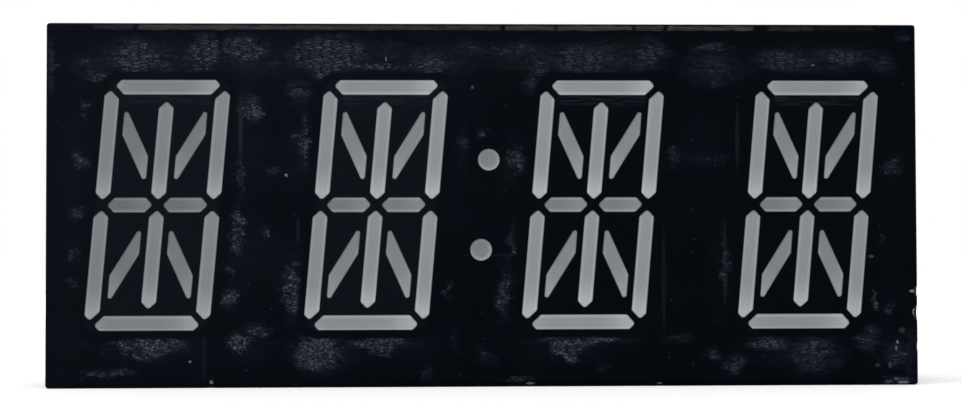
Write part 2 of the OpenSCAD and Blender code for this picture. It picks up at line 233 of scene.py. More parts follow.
# A thin veil of the same film over wider stretches of the face: place and half sizes in mm, strength
VEIL = (
    # along the top
    (-18.0, 8.0, 6.0, 1.5, 0.85), (-12.5, 7.9, 3.6, 1.5, 0.6), (-8.0, 8.1, 4.0, 1.4, 0.75),
    (-2.8, 8.0, 3.6, 1.2, 0.75), (2.2, 8.2, 3.4, 1.2, 0.75), (6.6, 8.1, 4.6, 1.4, 0.95),
    (12.7, 7.6, 2.8, 1.5, 0.7), (18.4, 8.0, 5.2, 1.3, 0.7),
    # along the bottom
    (-18.2, -8.0, 4.6, 1.3, 0.7), (-13.0, -7.8, 2.6, 1.6, 0.6), (-8.4, -8.2, 3.6, 1.3, 0.7),
    (-4.2, -7.9, 2.8, 1.0, 0.5), (4.6, -8.0, 3.6, 1.2, 0.65), (17.0, -8.2, 3.8, 1.4, 0.35),
    (22.4, -8.0, 2.0, 1.8, 0.2),
    # between the digits and at the ends
    (-13.0, 3.4, 1.6, 4.4, 0.42), (-12.9, -3.0, 1.8, 4.4, 0.42), (-22.6, 2.4, 1.2, 5.6, 0.42),
    (-22.7, -3.6, 0.9, 3.0, 0.38), (-10.4, 3.2, 1.1, 3.2, 0.5), (-10.7, -4.2, 1.1, 3.4, 0.55),
    (1.6, 2.4, 1.0, 2.4, 0.5), (1.1, -4.6, 1.1, 2.8, 0.5), (12.2, 3.6, 2.2, 3.0, 0.25),
    (13.0, -4.4, 1.2, 3.6, 0.12), (22.6, -4.6, 1.2, 3.0, 0.12),
)

# Straight faint streaks between the digits: place and half sizes in mm, strength
STREAKS = (
    (-13.46, 4.3, 0.16, 2.3, 0.6), (-15.42, -8.3, 0.18, 1.8, 0.22), (-10.3, -1.4, 0.14, 1.0, 0.3),
    (9.9, -4.2, 0.15, 3.6, 0.25), (14.05, 3.6, 0.16, 2.2, 0.3), (13.3, -3.2, 0.16, 3.0, 0.3),
    (0.3, -2.8, 2.0, 0.1, 0.2),
)

# Pale flecks where the face is chipped or rubbed: place and half sizes in mm, strength
FLECKS = (
    # at the right end
    (23.8, -4.84, 0.22, 0.08, 0.95), (23.96, -6.0, 0.14, 0.24, 1.0), (21.5, -2.9, 0.18, 0.09, 0.2),
    (23.19, -7.0, 0.2, 0.17, 0.09), (22.93, -7.66, 0.08, 0.13, 0.55), (22.86, -8.0, 0.07, 0.16, 0.45),
    (21.8, -8.94, 0.18, 0.13, 0.09), (22.5, -8.92, 0.1, 0.2, 0.16), (23.25, -9.9, 0.34, 0.09, 0.62),
    (22.86, -9.7, 0.16, 0.09, 0.18), (22.42, -9.83, 0.26, 0.06, 0.25),
    # along the bottom and among the digits
    (-15.05, -9.72, 0.09, 0.14, 0.9), (2.5, -9.86, 0.3, 0.06, 0.5), (9.66, -9.88, 0.14, 0.06, 0.7),
    (-16.2, -8.6, 0.1, 0.08, 0.6), (-10.96, 1.64, 0.1, 0.1, 0.7), (-0.7, 6.5, 0.1, 0.1, 0.3),
    (-5.46, 8.06, 0.06, 0.16, 0.35), (18.3, 7.75, 0.14, 0.06, 0.4),
)

# Stretches of the painted highlight and rubbing along the top edge: from and to in mm, strength
LIT_AND_RUBBED = (
    (-21.5, -19.4, 0.35), (-19.1, -8.5, 0.9), (-8.5, 0.85, 0.75), (1.2, 3.9, 0.95), (4.05, 8.2, 1.0),
    (8.4, 9.9, 0.8), (10.2, 15.0, 1.0), (15.8, 18.4, 0.4), (18.5, 21.8, 0.15),
)

# Nicks in the edges of the face: the edge, place along it, half length and depth in mm
NICKS = (
    ("right", -4.84, 0.3, 0.13), ("right", -6.05, 0.45, 0.16), ("right", -7.9, 0.3, 0.06),
    ("bottom", -15.05, 0.22, 0.1), ("bottom", 2.5, 0.35, 0.05), ("bottom", 9.66, 0.22, 0.06),
)


def shade(red, green, blue):
    """A colour as it is read on a screen, 0 to 255, in linear light."""
    parts = [c / 255 for c in (red, green, blue)]
    return (*[c / 12.92 if c <= 0.04045 else ((c + 0.055) / 1.055) ** 2.4 for c in parts], 1.0)


class Finish:
    """A material under work: short names for the nodes that its pattern is made of."""

    def __init__(self, name):
        self.material = bpy.data.materials.new(name)
        self.material.use_nodes = True
        self.tree = self.material.node_tree
        self.surface = self.tree.nodes["Principled BSDF"].inputs
        self.place = self.node("ShaderNodeTexCoord").outputs["Object"]

    def node(self, kind, **settings):
        """A new node with these settings."""
        made = self.tree.nodes.new(kind)
        for name, value in settings.items():
            setattr(made, name, value)
        return made

    def feed(self, socket, value):
        """Links a pattern to a socket, or sets a plain number or colour on it."""
        if isinstance(value, bpy.types.NodeSocket):
            self.tree.links.new(value, socket)
        else:
            socket.default_value = value

    def sum(self, operation, first, second=0.0, third=0.0, clamp=False):
        """The outcome of one sum on numbers or patterns."""
        made = self.node("ShaderNodeMath", operation=operation, use_clamp=clamp)
        for socket, value in zip(made.inputs, (first, second, third)):
            self.feed(socket, value)
        return made.outputs[0]

    def times(self, first, *others):
        """The product of several shares."""
        for other in others:
            first = self.sum("MULTIPLY", first, other)
        return first

    def along(self, axis, place=None):
        """How far a place lies along X, Y or Z."""
        parts = self.node("ShaderNodeSeparateXYZ")
        self.feed(parts.inputs[0], place or self.place)
        return parts.outputs[axis]

    def attribute(self, name):
        """A number that the mesh carries at each of its points."""
        return self.node("ShaderNodeAttribute", attribute_name=name).outputs["Fac"]

    def fade(self, value, start, end, most=1.0):
        """0 before start, the most after end, smooth between."""
        made = self.node("ShaderNodeMapRange", interpolation_type="SMOOTHSTEP")
        for socket, number in zip(made.inputs, (value, start, end, 0.0, most)):
            self.feed(socket, number)
        return made.outputs["Result"]

    def between(self, value, start, end, soft):
        """1 from start to end, with soft ends."""
        rise = self.fade(value, start - soft, start + soft)
        return self.sum("SUBTRACT", rise, self.fade(value, end - soft, end + soft), clamp=True)

    def stretched(self, sizes, place=None):
        """Coordinates in which a pattern's marks measure these sizes."""
        made = self.node("ShaderNodeMapping")
        self.feed(made.inputs["Vector"], place or self.place)
        made.inputs["Scale"].default_value = [1 / size for size in sizes]
        return made.outputs[0]

    def noise(self, sizes, detail=2.0, roughness=0.5):
        """Clouds of about these sizes along X, Y and Z."""
        made = self.node("ShaderNodeTexNoise")
        self.feed(made.inputs["Vector"], self.stretched(sizes))
        made.inputs["Scale"].default_value = 1.0
        made.inputs["Detail"].default_value = detail
        made.inputs["Roughness"].default_value = roughness
        return made.outputs

    def wandered(self, sizes, sway, detail, roughness):
        """Coordinates that sway to and fro along X and Z, so that a pattern on them is uneven."""
        made = self.node("ShaderNodeVectorMath", operation="MULTIPLY_ADD")
        self.feed(made.inputs[0], self.noise(sizes, detail, roughness)["Color"])
        made.inputs[1].default_value = (sway[0], 0, sway[1])
        middle = self.node("ShaderNodeVectorMath", operation="SUBTRACT")
        self.feed(middle.inputs[0], self.place)
        middle.inputs[1].default_value = (sway[0] / 2, 0, sway[1] / 2)
        self.feed(made.inputs[2], middle.outputs[0])
        return made.outputs[0]

    def cells(self, width, height, feature="F1", scatter=1.0, place=None):
        """A net of cells of about this width and height, across the front or the back."""
        flat = self.node("ShaderNodeCombineXYZ")
        self.feed(flat.inputs[0], self.along("X", place))
        self.feed(flat.inputs[1], self.along("Z", place))
        made = self.node("ShaderNodeTexVoronoi", voronoi_dimensions="2D", feature=feature)
        self.feed(made.inputs["Vector"], self.stretched((width, height, 1), flat.outputs[0]))
        made.inputs["Scale"].default_value = 1.0
        made.inputs["Randomness"].default_value = scatter
        return made.outputs

    def lot(self, cell):
        """Each cell's own random share, 0 to 1."""
        parts = self.node("ShaderNodeSeparateColor")
        self.feed(parts.inputs[0], cell["Color"])
        return parts.outputs[0]

    def grains(self, size, radius, share):
        """Round grains of this radius, at most one to a cell, in this share of the cells."""
        cell = self.cells(size, size)
        dot = self.fade(cell["Distance"], radius / size, 0.5 * radius / size)
        return self.times(dot, self.fade(self.lot(cell), 1 - share, 1.02 - share))

    def spots(self, marks, place, soft, spread=1.0):
        """The strongest of a list of oval marks on the face, widened by spread, soft over this share."""
        strongest = None
        for x, z, half_width, half_height, strength in marks:
            oval = self.node("ShaderNodeMapping")
            self.feed(oval.inputs["Vector"], place)
            wide, high = half_width * spread, half_height * spread
            oval.inputs["Scale"].default_value = (1 / (wide * MM), 0, 1 / (high * MM))
            oval.inputs["Location"].default_value = (-x / wide, 0, -z / high)
            spot = self.node("ShaderNodeTexGradient", gradient_type="SPHERICAL")
            self.feed(spot.inputs[0], oval.outputs[0])
            spot = self.fade(spot.outputs["Fac"], 0, soft, strength)
            strongest = spot if strongest is None else self.sum("MAXIMUM", strongest, spot)
        return strongest

    def tint(self, share, first, second):
        """From the first colour to the second, by this share."""
        made = self.node("ShaderNodeMix", data_type="RGBA")
        self.feed(made.inputs["Factor"], share)
        self.feed(made.inputs[6], first)
        self.feed(made.inputs[7], second)
        return made.outputs[2]

    def grain(self, height, depth, strength):
        """Fine relief of this depth."""
        made = self.node("ShaderNodeBump")
        made.inputs["Strength"].default_value = strength
        made.inputs["Distance"].default_value = depth
        self.feed(made.inputs["Height"], height)
        self.feed(self.surface["Normal"], made.outputs[0])

    def dress(self, **values):
        """Values and patterns for the surface's own sockets, named with _ for a space."""
        for name, value in values.items():
            self.feed(self.surface[name.replace("_", " ")], value)
        return self.material


class FacePrint(Finish):
    """Flat black print on the front, with dull cracked film, flecks, and a painted highlight on the top
    edge that also stands for rubbing, laid one over the other."""

    def __init__(self):
        super().__init__("black_face_print")
        self.x, self.z = self.along("X"), self.along("Z")
        self.ink = None

    def lay(self, colour, *shares):
        """Lays a colour over the print, as thick as the product of these shares."""
        self.ink = self.tint(self.times(*shares), self.ink, colour)

    def ground(self):
        """Blue black, a little paler towards the top left, with a breath of green."""
        fall = self.sum("MULTIPLY_ADD", self.z, -0.6, self.x)
        cloud = self.noise((3.5 * MM, 3.5 * MM, 3 * MM), detail=4)["Fac"]
        dark = self.sum("MULTIPLY_ADD", cloud, 0.9, self.fade(fall, -26 * MM, 14 * MM))
        dark = self.sum("SUBTRACT", dark, 0.45, clamp=True)
        self.ink = self.tint(dark, shade(7, 10, 17), shade(0, 4, 9))
        green = self.fade(self.noise((2.2 * MM,) * 3, detail=3)["Fac"], 0.52, 0.72)
        self.lay(shade(3, 9, 10), green, 0.4)

    def measure_digits(self):
        """How far a place lies outside the nearest digit's rounded outline, where the film stops."""
        upright = self.sum("MULTIPLY_ADD", self.z, -LEAN, self.x)
        half_pitch = digit_pitch / 2
        across = self.sum("WRAP", self.sum("ADD", upright, half_pitch), half_pitch, -half_pitch)
        self.across = self.sum("ABSOLUTE", across)
        beside = self.sum("SUBTRACT", self.across, digit_width / 2 - CLEAN_ROUND)
        above = self.sum("SUBTRACT", self.sum("ABSOLUTE", self.z), digit_height / 2 - CLEAN_ROUND)
        offset = self.node("ShaderNodeCombineXYZ")
        self.feed(offset.inputs[0], self.sum("MAXIMUM", beside, 0.0))
        self.feed(offset.inputs[1], self.sum("MAXIMUM", above, 0.0))
        length = self.node("ShaderNodeVectorMath", operation="LENGTH")
        self.feed(length.inputs[0], offset.outputs[0])
        self.from_digit = length.outputs["Value"]
        self.clean = self.fade(self.from_digit, CLEAN_EDGE - 0.12 * MM, CLEAN_EDGE + 0.1 * MM)

    def dull_film(self):
        """Where the film lies: patches with ragged edges, a thin veil, a haze round them and streaks."""
        swayed = self.wandered(
            (1.1 * MM, 1.1 * MM, 0.6 * MM), sway=(2.0 * MM, 1.0 * MM), detail=5, roughness=0.7,
        )
        self.trace = self.times(self.spots(RESIDUE, swayed, soft=0.9, spread=1.6), self.clean)
        patches = self.noise((0.8 * MM, 0.8 * MM, 0.22 * MM), detail=4, roughness=0.6)["Fac"]
        self.patchy = self.fade(patches, 0.32, 0.6)
        self.beneath = self.fade(self.z, *BELOW_DIGITS)
        below = self.times(self.beneath, self.fade(self.x, *LEFT_OF_DIGIT_4))
        self.scaly = self.sum("MAXIMUM", below, self.between(self.z, *BESIDE_DIGITS, soft=0.5 * MM))
        self.thin = self.sum("MULTIPLY_ADD", self.scaly, -0.55, 1.0)
        veil = self.times(self.spots(VEIL, swayed, soft=0.8), self.clean)
        veil = self.times(veil, self.sum("MULTIPLY_ADD", self.patchy, 0.7, 0.3), self.thin)
        ragged = self.noise((0.5 * MM, 0.5 * MM, 0.16 * MM), detail=4, roughness=0.6)["Fac"]
        ragged = self.fade(self.sum("MULTIPLY_ADD", ragged, 0.7, self.trace), 0.42, 0.72)
        film = self.times(ragged, self.fade(self.trace, 0.0, 0.7))
        self.film = self.sum("MAXIMUM", film, self.times(veil, 0.6))
        self.haze = self.times(self.fade(self.trace, 0, 0.5), self.patchy, self.thin)
        self.lay(shade(17, 22, 31), veil)
        self.lay(shade(21, 26, 36), self.haze)
        self.lay(shade(32, 36, 43), self.spots(STREAKS, self.place, soft=0.5), self.clean)

    def crumbs(self):
        """The film has dried into short pale crumbs with black between."""
        frayed = self.wandered(
            (0.3 * MM, 0.3 * MM, 0.14 * MM), sway=(0.3 * MM, 0.16 * MM), detail=3, roughness=0.6,
        )
        net = (CRUMB_WIDTH, CRUMB_HEIGHT)
        inside = self.cells(*net, "DISTANCE_TO_EDGE", CRUMB_SCATTER, frayed)["Distance"]
        self.lay(shade(5, 7, 11), self.fade(inside, 0.18, 0.02), self.film, 0.6)
        lot = self.lot(self.cells(*net, "F1", CRUMB_SCATTER, frayed))
        kept = self.fade(self.sum("ADD", self.film, lot), 0.7, 2.0)
        breaks = self.noise((0.14 * MM, 0.2 * MM, 0.08 * MM), detail=2, roughness=0.6)["Fac"]
        self.broken = self.fade(breaks, 0.38, 0.64)
        crumbs = self.times(kept, self.film, self.fade(inside, 0.0, 0.3))
        crumbs = self.times(crumbs, self.sum("MULTIPLY_ADD", self.broken, 0.8, 0.2))
        weaker = self.sum("SUBTRACT", 1.1, self.fade(self.x, -4 * MM, 8 * MM, 0.4))
        crumbs = self.times(crumbs, self.sum("MULTIPLY_ADD", self.beneath, 0.6, weaker))
        self.lay(shade(60, 66, 78), crumbs, self.thin)

    def scales(self):
        """Below and beside the digits it is thicker, and has broken into small scales."""
        thick = self.noise((0.6 * MM, 0.6 * MM, 0.4 * MM), detail=3, roughness=0.6)["Fac"]
        thick = self.fade(self.sum("MULTIPLY_ADD", thick, 0.9, self.trace), 0.76, 1.14)
        thick = self.times(thick, self.scaly)
        self.chipped = self.wandered((0.14 * MM,) * 3, sway=(0.2 * MM, 0.2 * MM), detail=2, roughness=0.6)
        net = (SCALE_WIDTH, SCALE_HEIGHT)
        inside = self.cells(*net, "DISTANCE_TO_EDGE", 1.0, self.chipped)["Distance"]
        lot = self.lot(self.cells(*net, "F1", 1.0, self.chipped))
        self.lay(shade(8, 11, 15), thick, 0.5)
        scales = self.times(thick, lot, self.fade(inside, 0.02, 0.22))
        self.lay(shade(73, 80, 88), scales, self.sum("MULTIPLY_ADD", self.broken, 0.5, 0.4))

    def specks_and_flecks(self):
        """Fine grains in the film and specks of dust, a smear under each top bar, and pale chips."""
        self.lay(shade(66, 70, 78), self.film, self.grains(size=0.34 * MM, radius=0.045 * MM, share=0.14))
        self.lay(shade(36, 40, 48), self.grains(size=1.3 * MM, radius=0.05 * MM, share=0.2), self.clean)

        # Among the bars of the left digits the print is a shade paler
        among = self.fade(self.from_digit, CLEAN_EDGE - 0.3 * MM, CLEAN_ROUND - 0.2 * MM)
        self.lay(shade(28, 32, 39), among, self.fade(self.x, 6 * MM, -4 * MM, 0.16))
        start, end = SMEAR_DROP
        smear = self.between(self.z, digit_high.z - end, digit_high.z - start, soft=0.1 * MM)
        smear = self.times(smear, self.fade(self.across, *SMEAR_END))
        wiped = self.fade(self.noise((1.4 * MM, 1 * MM, 0.12 * MM), detail=2)["Fac"], 0.4, 0.65)
        self.lay(shade(21, 25, 32), smear, wiped)
        self.lay(shade(116, 123, 127), self.spots(FLECKS, self.chipped, soft=0.6, spread=1.15))

    def lit_and_rubbed_edges(self):
        """The rounded top edge has a painted highlight, grey in a broken line like rubbed wear, and the
        left edge a little near the top.
        """
        wavy = self.noise((1.1 * MM, 1 * MM, 0.35 * MM), detail=4, roughness=0.6)["Fac"]
        slipped = self.sum("MULTIPLY_ADD", wavy, 0.6 * MM, self.sum("SUBTRACT", self.x, 0.3 * MM))
        lit_and_worn = 0.0
        for start, end, strength in LIT_AND_RUBBED:
            stretch = self.between(slipped, start * MM, end * MM, soft=0.12 * MM)
            lit_and_worn = self.sum("MULTIPLY_ADD", stretch, strength, lit_and_worn)
        # The band is a painted highlight on the rounding of the top edge, broken into stretches like
        # rubbed wear
        raised = self.sum("MULTIPLY_ADD", wavy, 0.24 * MM, self.sum("SUBTRACT", self.z, 0.12 * MM))
        start, end = LIT_AND_RUBBED_DROP
        line = self.between(raised, housing_high.z - end, housing_high.z - start, soft=0.06 * MM)
        uneven = self.noise((0.7 * MM, 1 * MM, 0.1 * MM), detail=4, roughness=0.6)["Fac"]
        uneven = self.fade(uneven, 0.3, 0.68)
        self.lay(shade(54, 57, 60), lit_and_worn, line, self.sum("MULTIPLY_ADD", uneven, 0.65, 0.4))
        start, end = DARK_DROP
        under = self.between(self.z, housing_high.z - end, housing_high.z - start, soft=0.03 * MM)
        self.lay(shade(2, 3, 5), under, 0.6)
        # Painted highlight on the rounded left edge near the top, which also stands for rubbing
        start, end = STRIP_INSET
        lit_and_rubbed_strip = self.between(self.x, housing_low.x + start, housing_low.x + end, soft=0.08 * MM)
        lit_and_rubbed_strip = self.times(lit_and_rubbed_strip, self.between(self.z, *STRIP_HEIGHTS, soft=0.6 * MM))
        self.lay(shade(44, 47, 52), lit_and_rubbed_strip, self.patchy, 0.28)


def printed_face():
    """The layers of the face, from the ground up."""
    face = FacePrint()
    face.ground()
    face.measure_digits()
    face.dull_film()
    face.crumbs()
    face.scales()
    face.specks_and_flecks()
    face.lit_and_rubbed_edges()
    face.grain(face.noise((0.08 * MM,) * 3, detail=3)["Fac"], depth=0.004 * MM, strength=0.5)
    return face.dress(
        Base_Color=face.ink,
        Roughness=face.sum("MULTIPLY_ADD", face.haze, 0.25, 0.5),
        Specular_IOR_Level=0.014,
    )


def moulded_plastic():
    """Satin black moulding of the sides, the wells and the back rim."""
    plastic = Finish("black_moulded_plastic")
    cloud = plastic.noise((1.5 * MM,) * 3, detail=4)["Fac"]
    black = plastic.tint(cloud, shade(9, 11, 13), shade(16, 18, 20))
    scuffs = plastic.noise((3 * MM, 0.12 * MM, 0.5 * MM), detail=3, roughness=0.6)["Fac"]
    scuffs = plastic.fade(scuffs, 0.66, 0.78)
    black = plastic.tint(plastic.times(scuffs, 0.5), black, shade(52, 54, 57))
    rim = plastic.fade(plastic.along("Y"), -0.3 * MM, 0)
    rim = plastic.times(rim, plastic.noise((0.6 * MM,) * 3, detail=3)["Fac"], 0.6)
    black = plastic.tint(rim, black, shade(44, 46, 49))
    plastic.grain(plastic.noise((0.07 * MM,) * 3, detail=2)["Fac"], depth=0.006 * MM, strength=0.6)
    return plastic.dress(
        Base_Color=black,
        Roughness=plastic.sum("MULTIPLY_ADD", cloud, 0.2, 0.36),
        Specular_IOR_Level=0.22,
    )


def hazy_resin():
    """Grey cast resin, darker mid-bar, with painted light along its sides and ends and painted shade at
    its edge.
    """
    resin = Finish("hazy_resin")
    from_lit, from_far = resin.attribute("from_lit_end"), resin.attribute("from_far_end")
    across, dot = resin.attribute("across"), resin.attribute("roundness")
    lit = resin.sum("POWER", resin.fade(from_lit, *LIT_REACH), LIT_CURVE)
    far = resin.sum("POWER", resin.fade(from_far, *FAR_REACH), FAR_CURVE)
    side = resin.fade(resin.sum("ABSOLUTE", across), *SIDE_REACH)
    painted_light = 1.0
    for place, share in ((lit, "lit_share"), (far, "far_end_light_share"), (side, "side_light_share")):
        painted_light = resin.sum("MULTIPLY_ADD", place, resin.attribute(share), painted_light)
    # The edge of each bar is darkened: painted shade where the resin meets the wall of its well
    rim = resin.sum("MULTIPLY_ADD", resin.attribute("inside_rim"), 0.75, 0.25)

    # A round dot has painted light towards its rim, most of all at its lit end, and no painted shade at
    # its edge
    length = resin.sum("ADD", from_far, from_lit)
    along = resin.sum("DIVIDE", resin.sum("SUBTRACT", from_far, from_lit), length)
    squares = resin.sum("MULTIPLY_ADD", along, along, resin.times(across, across))
    ring = resin.fade(resin.sum("SQRT", squares), *RING_REACH, RING_SHARE)
    painted_light = resin.sum("ADD", painted_light, resin.times(ring, resin.times(lit, dot)))
    rim = resin.sum("MAXIMUM", rim, resin.times(dot, 0.9))

    # The whole display is darker at its left end, and a little at its right end and its top
    x, z = resin.along("X"), resin.along("Z")
    level = resin.sum("ADD", resin.fade(x, *RESIN_RISE), RESIN_GREY)
    level = resin.sum("SUBTRACT", level, resin.fade(x, *RESIN_DROP))
    level = resin.times(level, resin.sum("ADD", resin.fade(z, *RESIN_GAIN), 1.0))
    level = resin.times(level, resin.attribute("level"), painted_light, rim)
    cloud = resin.noise((0.9 * MM,) * 3, detail=3)["Fac"]
    level = resin.times(level, resin.sum("MULTIPLY_ADD", cloud, 0.12, 0.94))
    # Where the painted light of the lit end is strong the grey is a little less blue
    cool = resin.tint(lit, (0.94, 1.0, 1.07, 1), (0.965, 1.0, 1.015, 1))
    grey = resin.node("ShaderNodeVectorMath", operation="SCALE")
    resin.feed(grey.inputs[0], cool)
    resin.feed(grey.inputs["Scale"], level)
    resin.grain(resin.noise((0.25 * MM,) * 3, detail=2)["Fac"], depth=0.006 * MM, strength=0.3)
    return resin.dress(
        Base_Color=grey.outputs[0],
        Roughness=resin.sum("MULTIPLY_ADD", cloud, 0.2, 0.3),
        Specular_IOR_Level=0.15,
    )


def poured_resin():
    """Milky resin on the back, with the green board and its tracks showing through and small bubbles."""
    pour = Finish("milky_back_resin")
    x, z = pour.along("X"), pour.along("Z")
    cloud = pour.noise((4 * MM,) * 3, detail=4)["Fac"]
    milk = pour.tint(pour.fade(cloud, 0.3, 0.75), shade(134, 144, 128), shade(156, 161, 147))

    # A track runs in from each pin to one of the level tracks across the middle
    height = pour.sum("ABSOLUTE", z)
    beside = pour.sum("WRAP", x, pin_pitch, 0.0)
    to_pin = pour.sum("ABSOLUTE", pour.sum("SUBTRACT", beside, pin_pitch / 2))
    number = pour.sum("ADD", pour.sum("FLOOR", pour.sum("DIVIDE", x, pin_pitch)), pour.sum("SIGN", z))
    pick = pour.node("ShaderNodeTexWhiteNoise", noise_dimensions="1D")
    pour.feed(pick.inputs["W"], number)
    level = pour.sum("SNAP", pour.times(pick.outputs["Value"], TRACK_REACH), TRACK_PITCH)
    drop = pour.times(pour.fade(to_pin, *TRACK_EDGE), pour.sum("GREATER_THAN", height, level))
    drop = pour.times(drop, pour.sum("LESS_THAN", height, pin_row))
    over = pour.sum("WRAP", z, TRACK_PITCH, 0.0)
    apart = pour.sum("ABSOLUTE", pour.sum("SUBTRACT", over, TRACK_PITCH / 2))
    run = pour.times(pour.fade(apart, *TRACK_EDGE), pour.sum("LESS_THAN", height, TRACK_REACH))
    among_pins = pour.sum("LESS_THAN", pour.sum("ABSOLUTE", x), PINS_IN_ROW / 2 * pin_pitch)
    tracks = pour.times(pour.sum("MAXIMUM", drop, run), among_pins)
    milk = pour.tint(pour.times(tracks, pour.fade(cloud, 0.62, 0.4, 0.32)), milk, shade(176, 178, 140))
    bubbles = pour.grains(size=0.8 * MM, radius=0.09 * MM, share=0.4)
    milk = pour.tint(pour.times(bubbles, 0.6), milk, shade(196, 198, 190))
    pour.grain(pour.sum("MULTIPLY_ADD", bubbles, -0.5, cloud), depth=0.05 * MM, strength=0.4)
    return pour.dress(
        Base_Color=milk,
        Roughness=pour.sum("MULTIPLY_ADD", cloud, 0.2, 0.14),
        Specular_IOR_Level=0.4,
    )


def tinned_wire():
    """Tinned wire of the pins, dull in patches."""
    tin = Finish("tinned_wire")
    dull = tin.fade(tin.noise((0.5 * MM, 1.2 * MM, 0.5 * MM), detail=3)["Fac"], 0.4, 0.7)
    tin.grain(tin.noise((0.4 * MM, 2 * MM, 0.4 * MM), detail=2)["Fac"], depth=0.01 * MM, strength=0.3)
    return tin.dress(
        Base_Color=tin.tint(dull, shade(206, 206, 202), shade(168, 168, 166)),
        Metallic=1.0,
        Roughness=tin.sum("MULTIPLY_ADD", dull, 0.22, 0.2),
    )


def bright_solder():
    """Solder with a fine frost."""
    solder = Finish("bright_solder")
    frost = solder.noise((0.15 * MM,) * 3, detail=4)["Fac"]
    solder.grain(frost, depth=0.01 * MM, strength=0.4)
    return solder.dress(
        Base_Color=solder.tint(frost, shade(176, 178, 180), shade(208, 209, 210)),
        Metallic=1.0,
        Roughness=solder.sum("MULTIPLY_ADD", frost, 0.25, 0.18),
    )


def masked_board():
    """Green solder mask over woven glass."""
    board = Finish("green_board")
    warp = board.noise((0.6 * MM, 1 * MM, 0.1 * MM))["Fac"]
    weft = board.noise((0.1 * MM, 1 * MM, 0.6 * MM))["Fac"]
    weave = board.sum("ADD", warp, weft)
    board.grain(weave, depth=0.01 * MM, strength=0.3)
    return board.dress(
        Base_Color=board.tint(board.fade(weave, 0.7, 1.3), shade(34, 82, 48), shade(52, 104, 62)),
        Roughness=board.sum("MULTIPLY_ADD", weave, 0.1, 0.25),
    )


def lit_crystal():
    """Amber crystal of the dies."""
    crystal = Finish("amber_crystal")
    facets = crystal.noise((0.06 * MM,) * 3, detail=3)["Fac"]
    return crystal.dress(
        Base_Color=crystal.tint(facets, shade(178, 128, 58), shade(214, 176, 96)),
        Roughness=crystal.sum("MULTIPLY_ADD", facets, 0.2, 0.1),
    )


def gold_wire():
    """Drawn gold of the bond wires."""
    gold = Finish("gold_wire")
    drawn = gold.noise((0.03 * MM,) * 3, detail=2)["Fac"]
    return gold.dress(
        Base_Color=gold.tint(drawn, shade(226, 184, 92), shade(244, 210, 128)),
        Metallic=1.0,
        Roughness=gold.sum("MULTIPLY_ADD", drawn, 0.15, 0.15),
    )


def joined_copy(node):
    """The node's own shape as a new mesh, its loose triangles joined."""
    shape = bmesh.new()
    shape.from_mesh(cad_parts[node].data)
    bmesh.ops.remove_doubles(shape, verts=shape.verts, dist=JOIN)
    return shape


def once_each(parts):
    """The parts in the order in which they come, each of them once."""
    return list(dict.fromkeys(parts))


def flattened(shape, faces):
    """Clears the edges between faces that lie in one plane."""
    edges = once_each(edge for face in faces for edge in face.edges)
    verts = once_each(vert for face in faces for vert in face.verts)
    bmesh.ops.dissolve_limit(shape, angle_limit=ONE_PLANE, edges=edges, verts=verts)


def lies_at(face, y):
    """True for a face square to Y at this depth."""
    return abs(face.normal.y) > FLAT_FROM and abs(face.calc_center_median().y - y) < NEAR


def is_wall(face):
    """True for a face that runs straight back."""
    return abs(face.normal.y) < WALL_UP_TO


def is_level(face):
    """True for a face square to any axis."""
    return max(abs(part) for part in face.normal) > SQUARE_FROM


def smoothed(shape, degrees):
    """Round surfaces shade smooth up to this angle, and flats stay flat up to their edges."""
    for face in shape.faces:
        face.smooth = True
    for edge in shape.edges:
        levels = [is_level(face) for face in edge.link_faces]
        edge.smooth = levels[0] == levels[-1] and edge.calc_face_angle(0) < math.radians(degrees)


def piece(name, shape, finishes, slot, *nodes):
    """Makes a mesh into a finished piece that stands for these nodes."""
    mesh = bpy.data.meshes.new(name)
    shape.to_mesh(mesh)
    shape.free()
    for finish in finishes:
        mesh.materials.append(finish)
    made = bpy.data.objects.new(name, mesh)
    bpy.context.scene.collection.objects.link(made)
    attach(made, "root")
    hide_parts(*nodes)


def nicked(shape, edge, middle, reach, depth):
    """Knocks a shallow nick into the rounded front edge on one side of the face."""
    side, run, limit = (0, 2, housing_high.x) if edge == "right" else (2, 0, housing_low.z)
    inward = -1 if limit > 0 else 1
    along = Vector((0, 0, 1)) if run == 2 else Vector((1, 0, 0))

    def on_edge(vert):
        return abs(vert.co[side] - limit) < EDGE_ROUND and vert.co.y < face_y + EDGE_ROUND

    for cut in NICK_CUTS:
        rounded = [face for face in shape.faces if not is_level(face)]
        strips = [face for face in rounded if all(on_edge(vert) for vert in face.verts)]
        sides = once_each(line for face in strips for line in face.edges)
        verts = once_each(vert for face in strips for vert in face.verts)
        bmesh.ops.bisect_plane(
            shape, geom=strips + sides + verts, dist=JOIN,
            plane_co=along * (middle + cut * reach), plane_no=along,
        )
    for vert in shape.verts:
        gap = abs(vert.co[run] - middle) / reach
        if gap < 1 and on_edge(vert):
            dent = depth * (1 - gap * gap)
            if abs(vert.co[side] - limit) > JOIN:
                vert.co[side] += inward * dent
            if vert.co.y > face_y + JOIN:
                vert.co.y += dent


